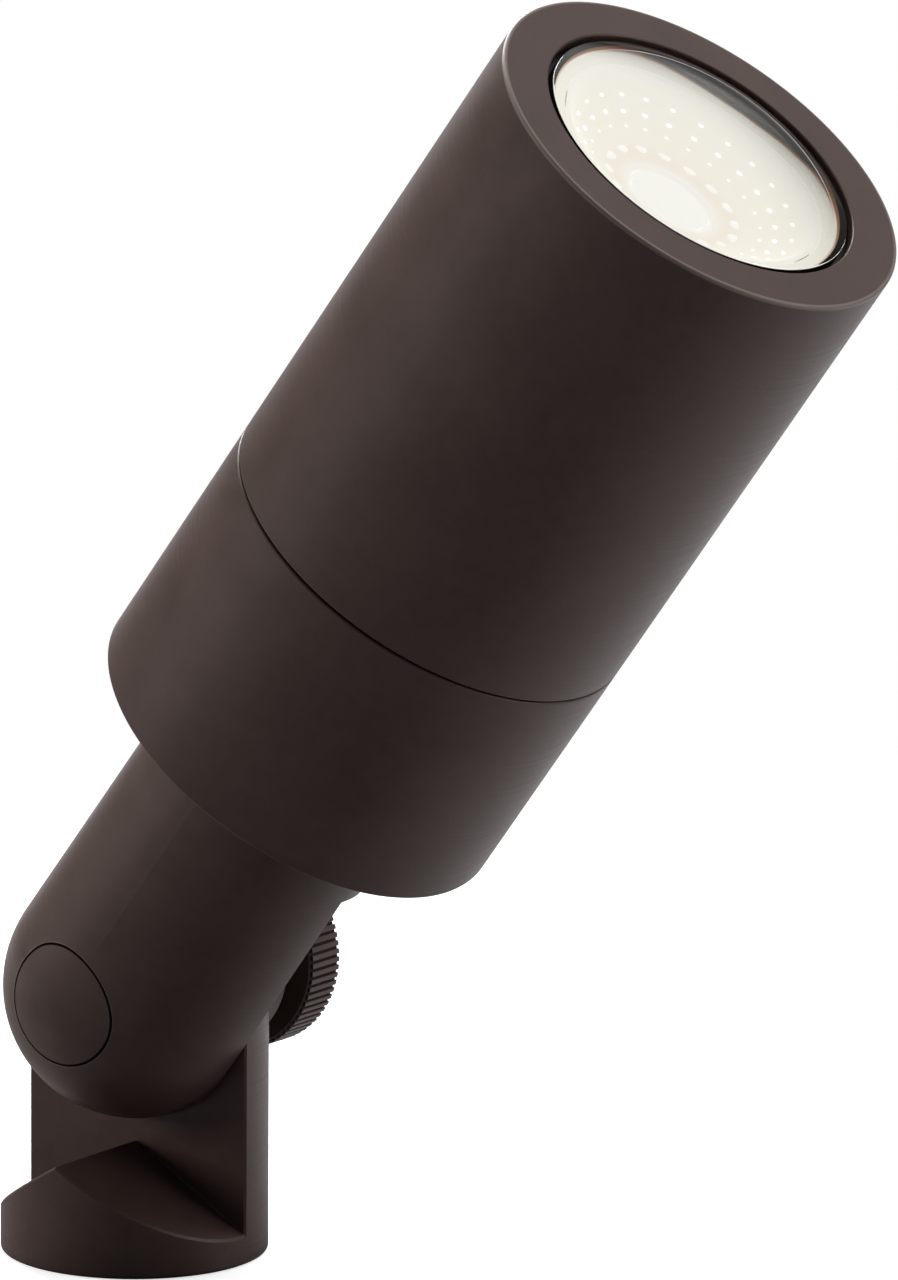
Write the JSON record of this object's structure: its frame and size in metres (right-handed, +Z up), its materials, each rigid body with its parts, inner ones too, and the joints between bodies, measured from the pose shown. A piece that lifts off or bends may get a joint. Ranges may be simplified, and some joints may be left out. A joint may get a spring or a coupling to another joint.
{
  "type": "bullet spotlight",
  "caption": "Tilting bullet spotlight for a garden: a round head with a domed lens on a clamped knuckle, with a short round base that screws onto a stake or post.",
  "frame": {"origin": "centre of the base's flat bottom face, at the mouth of the threaded socket", "axes": "+Z up out of the base, +Y along the pivot bolt towards the knob, +X the way the head leans at rest"},
  "size_m": [0.1487, 0.066, 0.1987],
  "materials": {
    "bronze_coat": "dark bronze powder coat, satin",
    "brass": "turned",
    "steel": "zinc plated",
    "pin_metal": "nickel plated",
    "seal_rubber": "matte",
    "gasket_rubber": "brown silicone rubber",
    "lens_glass": "clear",
    "lamp_aluminium": "satin",
    "lamp_plastic": "satin",
    "reflector": "bright",
    "board_white": "white solder mask",
    "led_light": "lit phosphor",
    "socket_ceramic": "glazed ceramic",
    "lead_sleeve": "silicone sleeve"
  },
  "bodies": {
    "base": {"base_casting": "bronze_coat", "knuckle_oring": "seal_rubber"},
    "head": {"knuckle_arm": "bronze_coat", "pivot_plug": "bronze_coat", "rear_housing": "bronze_coat", "pivot_bolt": "steel", "arm_lock_nut": "brass", "arm_oring": "seal_rubber", "wire_grommet": "seal_rubber", "lamp_bezel": "lamp_plastic", "lamp_reflector": "reflector", "led_board": "board_white", "led_chip": "led_light", "lamp_body": "lamp_aluminium", "lamp_base": "lamp_plastic", "lamp_pins": "pin_metal", "lamp_socket": "socket_ceramic", "socket_leads": "lead_sleeve", "socket_bracket": "steel", "bracket_screws": "steel", "socket_screws": "steel"},
    "clamp_washer": {"clamp_washer": "steel"},
    "knob": {"thumb_knob": "bronze_coat", "knob_insert": "brass"},
    "seam_oring": {"seam_oring": "seal_rubber"},
    "shroud": {"shroud": "bronze_coat", "lens": "lens_glass", "lens_gasket": "gasket_rubber", "lens_ring": "lamp_aluminium"}
  },
  "joints": [
    {"name": "head_tilt", "type": "hinge", "parent": "base", "child": "head", "pos_m": [0, 0, 0.0415], "axis": [0, 1, 0], "range_deg": [-151, 78]},
    {"name": "knob_slide", "type": "slide", "parent": "head", "child": "clamp_washer", "axis": [0, 1, 0], "range_m": [0, 0.00251]},
    {"name": "knob_turn", "type": "hinge", "parent": "clamp_washer", "child": "knob", "pos_m": [0, 0.027, 0.0415], "axis": [0, 1, 0], "range_deg": [0, 720]},
    {"name": "shroud_turn", "type": "hinge", "parent": "head", "child": "seam_oring", "pos_m": [0.0004, 0, 0.0412], "axis": [0.592, 0, 0.8059], "range_deg": [0, 2160]},
    {"name": "shroud_slide", "type": "slide", "parent": "seam_oring", "child": "shroud", "axis": [0.592, 0, 0.8059], "range_m": [0, 0.00901]}
  ],
  "couplings": [
    {"joint": "knob_slide", "follows": "knob_turn", "m_per_rad": 0.00019894},
    {"joint": "shroud_slide", "follows": "shroud_turn", "m_per_rad": 0.00023873}
  ]
}
